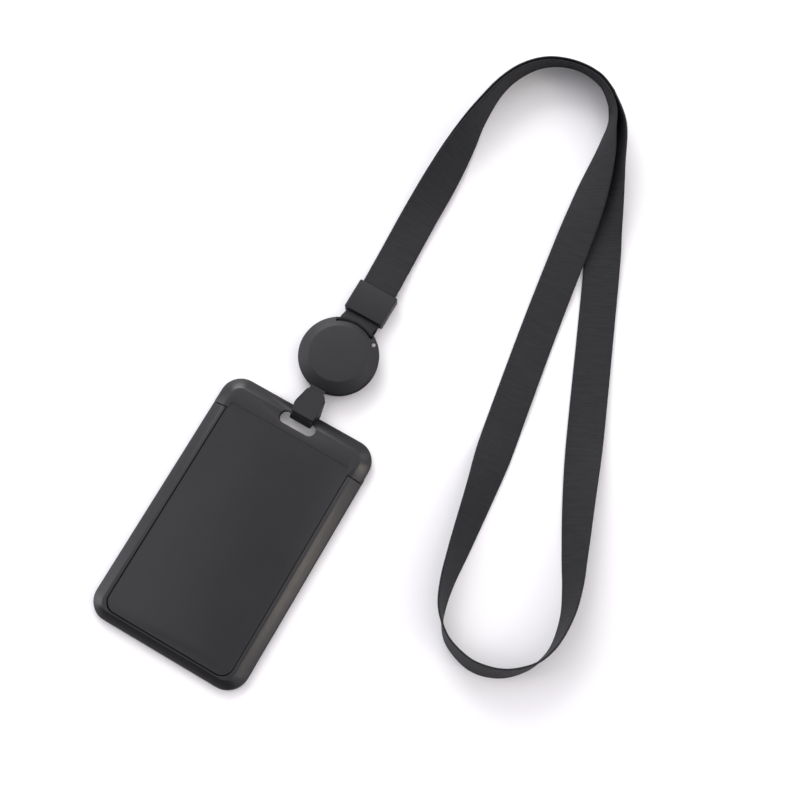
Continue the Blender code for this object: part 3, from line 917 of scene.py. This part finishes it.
class BADGE_OT_reel_case(bpy.types.Operator):
    """Turns the reel's back case with its centre post"""

    bl_idname = "badge.reel_case"
    bl_label = "Reel back case"

    def execute(self, context):
        s = context.scene.badge_shell
        top = 3.25
        centre = (REEL_X, REEL_Y)
        taper = 1.6
        o = rod("reel_case_shell", (*centre, (top + taper) / 2), REEL_R, top - taper, sides=160)
        draw_in(o, top, REEL_R - 0.25)
        draw_in(o, taper, REEL_R - 0.5)
        edit(o, "FACE", lambda f: f.normal.z < -0.9)
        bpy.ops.mesh.extrude_region_move(TRANSFORM_OT_translate={"value": (0, 0, -taper * MM)})
        share = (REEL_R - 1.8) / (REEL_R - 0.5)
        bpy.ops.transform.resize(value=(share, share, 1), center_override=Vector((*centre, 0)) * MM)
        done()
        ease(o, level_edge(taper), 0.4, 3)
        ease(o, level_edge(0.0), 0.4, 3)
        edit(o, "FACE", lambda f: f.normal.z > 0.9)
        bpy.ops.mesh.inset(thickness=(REEL_R - 12.2) * MM)
        bpy.ops.mesh.extrude_region_move(TRANSFORM_OT_translate={"value": (0, 0, (1.2 - top) * MM)})
        done()
        edit(o, "FACE", lambda f: f.normal.z < -0.9 and f.calc_area() > 0.0003)
        bpy.ops.mesh.inset(thickness=2.0 * MM)
        bpy.ops.mesh.inset(thickness=0.25 * MM)
        bpy.ops.transform.translate(value=(0, 0, 0.25 * MM))
        done()
        carve(o, rod("post", (*centre, 4.1), 1.6, 6.2, sides=32), "UNION")
        for tool in strap_slot_tools():
            carve(o, tool)
        carve(o, arc_tool("under_tool", SLOT_IN, 18.0, -1, 1.4))
        soften(o, 0.12, 42)
        drill_peep(o)
        plastic = moulded_plastic("reel_case_plastic", tuple(s.reel_colour), s.rough + 0.14)
        # the walls get a darker copy of the plastic: painted shade
        wall = dull_and_shaded_wall("reel_case_shaded_wall", tuple(s.reel_colour))
        finish_piece(o, "reel", "reel_back_case", "reel_back_case", plastic, wall)
        return {"FINISHED"}


class BADGE_OT_reel_inside(bpy.types.Operator):
    """Finishes the spool, spring, winding, bush and crimp, and makes the cord that pulls out"""

    bl_idname = "badge.reel_inside"
    bl_label = "Reel inside and cord"

    def execute(self, context):
        s = context.scene.badge_strap
        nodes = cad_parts
        cord = braided_cord("cord_braid", tuple(s.colour))
        paint(nodes["reel_spool"], moulded_plastic("spool_plastic", (0.05, 0.05, 0.055), 0.5))
        paint(nodes["reel_spring"], spring_steel("spring_strip", (0.56, 0.57, 0.6), 0.28))
        paint(nodes["cord_winding"], cord)
        for name in ("cord_ferrule", "exit_eyelet"):
            paint(nodes[name], spring_steel(name + "_steel", (0.62, 0.62, 0.64), 0.3))
        nothing_selected()
        curve = bpy.data.curves.new("pull_cord_line", "CURVE")
        curve.dimensions = "3D"
        curve.bevel_depth = 0.4 * MM
        curve.bevel_resolution = 3
        curve.use_fill_caps = True
        points = smooth(PULL_CORD, 8)
        spline = curve.splines.new("POLY")
        spline.points.add(len(points) - 1)
        for p, (x, y, z) in zip(spline.points, points):
            p.co = (x * MM, y * MM, z * MM, 1)
        o = bpy.data.objects.new("pull_cord_braid", curve)
        context.scene.collection.objects.link(o)
        take(o)
        bpy.ops.object.convert(target="MESH")
        o = context.object
        bpy.ops.object.mode_set(mode="EDIT")
        bpy.ops.mesh.select_all(action="SELECT")
        bpy.ops.mesh.remove_doubles(threshold=1e-6)
        bpy.ops.mesh.normals_make_consistent(inside=False)
        done()
        shade(o)
        paint(o, cord)
        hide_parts("pull_cord")
        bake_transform(o)
        return {"FINISHED"}


def run_out(o, side, start, rows):
    """Extrudes the strip's +Y end face, above or below the bar, on through these rows."""
    edit(o, "FACE", lambda f: f.normal.y > 0.9 and side(f.calc_center_median().z / MM))
    for y in rows:
        bpy.ops.mesh.extrude_region_move(TRANSFORM_OT_translate={"value": (0, (y - start) * MM, 0)})
        start = y
    done()


class BADGE_OT_hook_tab(bpy.types.Operator):
    """Folds the soft tab round the holder's bar and joins its ends in a head"""

    bl_idname = "badge.hook_tab"
    bl_label = "Hook tab"

    def execute(self, context):
        s = context.scene.badge_shell
        bar = (23.0, CORD_Z)
        half, skin, reach = 5.3, 1.1, 3.65
        first = 25.2
        o = block("hook_tab_fold", (-half, bar[0], bar[1] + reach - skin), (half, first, bar[1] + reach))
        edit(o, "FACE", lambda f: f.normal.y < -0.9)
        bpy.ops.mesh.spin(
            steps=12,
            angle=math.pi,
            center=(0, bar[0] * MM, bar[1] * MM),
            axis=(-1, 0, 0),
            use_auto_merge=False,
        )
        done()
        run_out(o, lambda z: z > bar[1], first, (26.4, 28.5, 31.0, 32.1, 32.7, 34.4))
        run_out(o, lambda z: z < bar[1], bar[0], (25.2, 26.4, 28.5, 31.0, 32.1, 32.7, 33.2))
        widths = [
            (19.0, 4.25),
            (22.0, 4.65),
            (25.2, 5.3),
            (26.4, 5.2),
            (31.0, 4.07),
            (32.1, 3.8),
            (32.7, 3.1),
        ]
        rows = sorted({round(v.co.y / MM, 2) for v in o.data.vertices})
        for y in rows:
            after = next((k for k, w in enumerate(widths) if w[0] >= y), len(widths) - 1)
            y0, w0 = widths[max(after - 1, 0)]
            y1, w1 = widths[after]
            share = 0 if y1 == y0 else min(1, max(0, (y - y0) / (y1 - y0)))
            width = w0 + (w1 - w0) * share
            edit(o, "VERT", lambda v: near(v.co.y, y, 0.006))
            bpy.ops.transform.resize(value=(width / half, 1, 1), center_override=(0, y * MM, 0))
            done()
        crest = [(15, 21.95, 7.4), (30, 20.9, 6.35), (45, 20.1, 5.45), (60, 19.6, 4.7), (75, 19.38, 4.1)]
        for turn, y, z in crest:
            a = math.radians(turn)
            at = (bar[0] - reach * math.sin(a), bar[1] + reach * math.cos(a))
            edit(o, "VERT", lambda v: near(v.co.y, at[0]) and near(v.co.z, at[1]))
            bpy.ops.transform.translate(value=(0, (y - at[0]) * MM, (z - at[1]) * MM))
            done()
        carve(o, block("head", (-3.7, 30.6, 0.6), (3.7, 32.05, 6.8)), "UNION")
        carve(o, block("neck", (-3.0, 31.9, 0.6), (3.0, 33.2, 6.8)), "UNION")
        carve(o, block("under_nose", (-6, 33.2, 2), (6, 36, 7.0)))
        take(o)
        bpy.ops.transform.translate(value=(0.3 * MM, 0, 0))
        bpy.ops.object.transform_apply(location=True, rotation=False, scale=False)
        carve(o, rod("bore", (0, 32.6, CORD_Z), 1.35, 2.8, "Y", 24))
        soften(o, 0.22, 38, 3)
        finish_piece(o, "tab", "hook_tab", "hook_tab", soft_rubber("tab_skin", tuple(s.tab_colour)))
        return {"FINISHED"}


def slope_top(o, inset, rise, level):
    """Draws a box's top face in by the inset and lifts it, which leaves a sloping edge."""
    edit(o, "FACE", lambda f: f.normal.z > 0.9 and near(f.calc_center_median().z, level))
    bpy.ops.mesh.inset(thickness=inset * MM)
    bpy.ops.transform.translate(value=(0, 0, rise * MM))
    done()


class BADGE_OT_slide_cover(bpy.types.Operator):
    """Moulds the holder's closed face: the slotted band and the flat panel with its tongues"""

    bl_idname = "badge.slide_cover"
    bl_label = "Slide cover"

    def execute(self, context):
        s = context.scene.badge_shell
        low, high = box_mm("slide_cover")
        corners = [(low.x, high.y), (high.x, high.y)]
        top = (high.x, high.y, RAIL_EDGE)
        o = rounded_block("cover_shell", (low.x, 0, low.z), top, corners, HOLDER_CORNER, 14)
        slope_top(o, s.slope / MM, high.z - RAIL_EDGE, RAIL_EDGE)
        ease(o, level_edge(high.z), 0.4, 3)
        ease(o, level_edge(RAIL_EDGE), 0.15, 2)
        carve(o, block("below", (low.x - 2, -5, 0), (high.x + 2, BAND_LOW, 9)))
        half, y0, y1 = 7.8, 16.1, 21.3
        corners = [(x, y) for x in (-half, half) for y in (y0, y1)]
        carve(o, rounded_block("slot", (-half, y0, 0), (half, y1, 9), corners, 2.59, 8))
        half, y1 = PANEL_HALF - 0.35, 13.5
        corners = [(-half, y1), (half, y1)]
        carve(o, rounded_block("recess", (-half, 5, 4.6), (half, y1, 8), corners, 1.6, 6))
        half, foot, under = PANEL_HALF, low.y + 0.15, 3.5
        corners = [(-half, foot), (half, foot)]
        panel = rounded_block("panel", (-half, foot, under), (half, 14.5, 4.88), corners, 4.6, 10)
        carve(o, panel, "UNION")
        carve(o, block("tongue", (-28.6, -72, under), (28.6, 9.9, 4.1)), "UNION")
        soften(o, 0.2, 33, 3)
        plastic = moulded_plastic("cover_plastic", tuple(s.holder_colour), s.rough)
        # the walls get a darker copy of the plastic: painted shade
        wall = dull_and_shaded_wall("cover_shaded_wall", tuple(s.holder_colour))
        finish_piece(o, "cover", "slide_cover", "slide_cover", plastic, wall)
        return {"FINISHED"}


class BADGE_OT_card_frame(bpy.types.Operator):
    """Moulds the sloping U-shaped frame that the cover slides in"""

    bl_idname = "badge.card_frame"
    bl_label = "Card frame"

    def execute(self, context):
        s = context.scene.badge_shell
        low, high = box_mm("card_frame")
        corners = [(low.x, low.y), (high.x, low.y)]
        o = rounded_block("frame_shell", low, (high.x, 24, RAIL_EDGE), corners, HOLDER_CORNER, 14)
        slope_top(o, s.slope / MM, high.z - RAIL_EDGE, RAIL_EDGE)
        edit(o, "VERT", lambda v: near(v.co.z, high.z) and v.co.y < low.y * 0.8 * MM)
        bpy.ops.transform.translate(value=(0, -1.1 * MM, 0))
        done()
        ease(o, level_edge(high.z), 0.3, 3)
        ease(o, level_edge(RAIL_EDGE), 0.4, 3)
        ease(o, level_edge(0.0), 0.5, 3)
        carve(o, block("rail_ends", (low.x - 2, RAIL_TOP, 2.0), (high.x + 2, 30, 9)))
        carve(o, block("ledge_end", (low.x - 2, high.y, -1), (high.x + 2, 30, 9)))
        half, foot = PANEL_HALF + 0.35, -77.5
        corners = [(-half, foot), (half, foot)]
        carve(o, rounded_block("pocket", (-half, foot, 1.2), (half, 30, 9), corners, 4.9, 10))
        half, y0, y1 = 24.3, -73, 4.4
        corners = [(x, y) for x in (-half, half) for y in (y0, y1)]
        carve(o, rounded_block("window", (-half, y0, -1), (half, y1, 3), corners, 4, 8))
        carve(o, block("groove", (-28.95, -72.5, 3.2), (28.95, 30, 4.4)))
        soften(o, 0.2, 33, 3)
        plastic = moulded_plastic("frame_plastic", tuple(s.holder_colour), s.rough)
        # the walls get a darker copy of the plastic: painted shade
        wall = dull_and_shaded_wall("frame_shaded_wall", tuple(s.holder_colour))
        finish_piece(o, "frame", "card_frame", "card_frame", plastic, wall)
        paint(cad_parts["card_window"], clear_sheet("window_film"))
        return {"FINISHED"}


def studio_world(scene):
    """A light tent: even overhead, dark in front of the object, with soft panels at its sides."""
    world = bpy.data.worlds.new("studio")
    scene.world = world
    world.use_nodes = True
    tree = world.node_tree
    back = tree.nodes["Background"]

    def step(operation, a, b, c=None):
        node = tree.nodes.new("ShaderNodeMath")
        node.operation = operation
        for socket, value in zip(node.inputs, (a, b, c)):
            if isinstance(value, (int, float)):
                socket.default_value = value
            elif value is not None:
                tree.links.new(value, socket)
        return node.outputs[0]

    place = tree.nodes.new("ShaderNodeTexCoord").outputs["Generated"]

    def panel(direction, edge, power):
        """A round panel of light seen in one direction, fading out towards its edge in degrees."""
        facing = tree.nodes.new("ShaderNodeVectorMath")
        facing.operation = "DOT_PRODUCT"
        facing.inputs[1].default_value = Vector(direction).normalized()
        tree.links.new(place, facing.inputs[0])
        rim = math.cos(math.radians(edge))
        rise = step("DIVIDE", step("SUBTRACT", facing.outputs["Value"], rim), (1 - rim) / 2)
        return step("MULTIPLY", step("MINIMUM", step("MAXIMUM", rise, 0.0), 1.0), power)

    split = tree.nodes.new("ShaderNodeSeparateXYZ")
    tree.links.new(place, split.inputs[0])
    lift = step("MULTIPLY_ADD", split.outputs["Z"], 1.05, 0.42)
    total = step("MINIMUM", step("MAXIMUM", lift, 0.6), 1.15)
    warm_power = 6.5
    warm = panel((0.8, 0.17, 0.58), 10, warm_power)
    total = step("ADD", total, warm)
    for direction, edge, power in (
        ((-0.9, -0.36, 0.28), 24, 2.4),
        ((0.48, 0.76, 0.45), 14, 1.2),
        ((0.06, -0.14, 0.99), 16, -0.8),
    ):
        total = step("ADD", panel(direction, edge, power), total)
    front = step("MULTIPLY_ADD", split.outputs["Y"], -6.0, -2.9)
    front = step("MINIMUM", step("MAXIMUM", front, 0.0), 1.0)
    shade_of = step("MULTIPLY_ADD", front, -0.88, 1.0)
    tree.links.new(step("MULTIPLY", total, shade_of), back.inputs["Strength"])
    tint = tree.nodes.new("ShaderNodeMix")
    tint.data_type = "RGBA"
    tint.inputs["A"].default_value = (1.0, 0.975, 1.035, 1)
    tint.inputs["B"].default_value = (1.0, 0.9, 0.78, 1)
    tree.links.new(step("DIVIDE", warm, warm_power), tint.inputs["Factor"])
    tree.links.new(tint.outputs["Result"], back.inputs["Color"])


class BADGE_OT_stage(bpy.types.Operator):
    """Sets the table, the soft studio light and the camera"""

    bl_idname = "badge.stage"
    bl_label = "Stage"

    def execute(self, context):
        s = context.scene.badge_stage
        nothing_selected()
        bpy.ops.mesh.primitive_plane_add(size=6, location=(0, 0, 0))
        floor = context.object
        floor.name = "table_top"
        n = Nodes("table_white")
        place = object_place(n)
        tone = n.noise(place, 3, 2.0)
        colour = tuple(s.floor_colour)
        n.join(n.ramp(tone, tinted(colour, 0.995), colour), n.shader.inputs["Base Color"])
        n.shader.inputs["Roughness"].default_value = 0.9
        n.shader.inputs["Specular IOR Level"].default_value = 0.1
        paint(floor, n.material)
        middle = Vector(s.aim)
        studio_world(context.scene)
        away = Vector((-0.6, 0.6, 0.5)) * 1.6
        light = bpy.data.lights.new("key_light", "AREA")
        light.shape = "SQUARE"
        light.size = 0.9
        light.energy = 15.0
        lamp = bpy.data.objects.new("key_light", light)
        context.scene.collection.objects.link(lamp)
        lamp.location = middle + away
        lamp.rotation_euler = away.to_track_quat("Z", "Y").to_euler()
        a, e = s.azimuth, s.elevation
        away = Vector((math.sin(a) * math.cos(e), -math.cos(a) * math.cos(e), math.sin(e)))
        camera = bpy.data.cameras.new("camera")
        camera.sensor_width = 36
        camera.lens = 18 / math.tan(s.field / 2)
        camera.clip_start = 0.01
        eye = bpy.data.objects.new("camera", camera)
        context.scene.collection.objects.link(eye)
        eye.location = middle + away * s.distance
        eye.rotation_euler = (-away).to_track_quat("-Z", "Y").to_euler()
        context.scene.camera = eye
        context.scene.view_settings.view_transform = "Standard"
        context.scene.view_settings.look = "None"
        return {"FINISHED"}


class BADGE_PT_panel(bpy.types.Panel):
    """Lists the badge holder's pieces"""

    bl_label = "Badge Holder"
    bl_idname = "BADGE_PT_panel"
    bl_space_type = "VIEW_3D"
    bl_region_type = "UI"
    bl_category = "Badge Holder"

    def draw(self, context):
        column = self.layout.column(align=True)
        for operator in OPERATORS:
            column.operator(operator.bl_idname, text=operator.bl_label)
        for group in (context.scene.badge_strap, context.scene.badge_shell, context.scene.badge_stage):
            box = self.layout.box()
            for key in group.__annotations__:
                box.prop(group, key)


OPERATORS = (
    BADGE_OT_neck_strap,
    BADGE_OT_end_loop,
    BADGE_OT_buckle,
    BADGE_OT_reel_cap,
    BADGE_OT_reel_case,
    BADGE_OT_reel_inside,
    BADGE_OT_hook_tab,
    BADGE_OT_slide_cover,
    BADGE_OT_card_frame,
    BADGE_OT_stage,
)
GROUPS = (
    ("badge_strap", BadgeStrapSettings),
    ("badge_shell", BadgeShellSettings),
    ("badge_stage", BadgeStageSettings),
)


def register():
    for name, group in GROUPS:
        bpy.utils.register_class(group)
        setattr(bpy.types.Scene, name, bpy.props.PointerProperty(type=group))
    for operator in OPERATORS:
        bpy.utils.register_class(operator)
    bpy.utils.register_class(BADGE_PT_panel)


def unregister():
    bpy.utils.unregister_class(BADGE_PT_panel)
    for operator in reversed(OPERATORS):
        bpy.utils.unregister_class(operator)
    for name, group in reversed(GROUPS):
        delattr(bpy.types.Scene, name)
        bpy.utils.unregister_class(group)


def main():
    register()
    bpy.ops.badge.neck_strap()
    bpy.ops.badge.end_loop()
    bpy.ops.badge.buckle()
    bpy.ops.badge.reel_cap()
    bpy.ops.badge.reel_case()
    bpy.ops.badge.reel_inside()
    bpy.ops.badge.hook_tab()
    bpy.ops.badge.slide_cover()
    bpy.ops.badge.card_frame()
    bpy.ops.badge.stage()


if __name__ == "__main__":
    main()
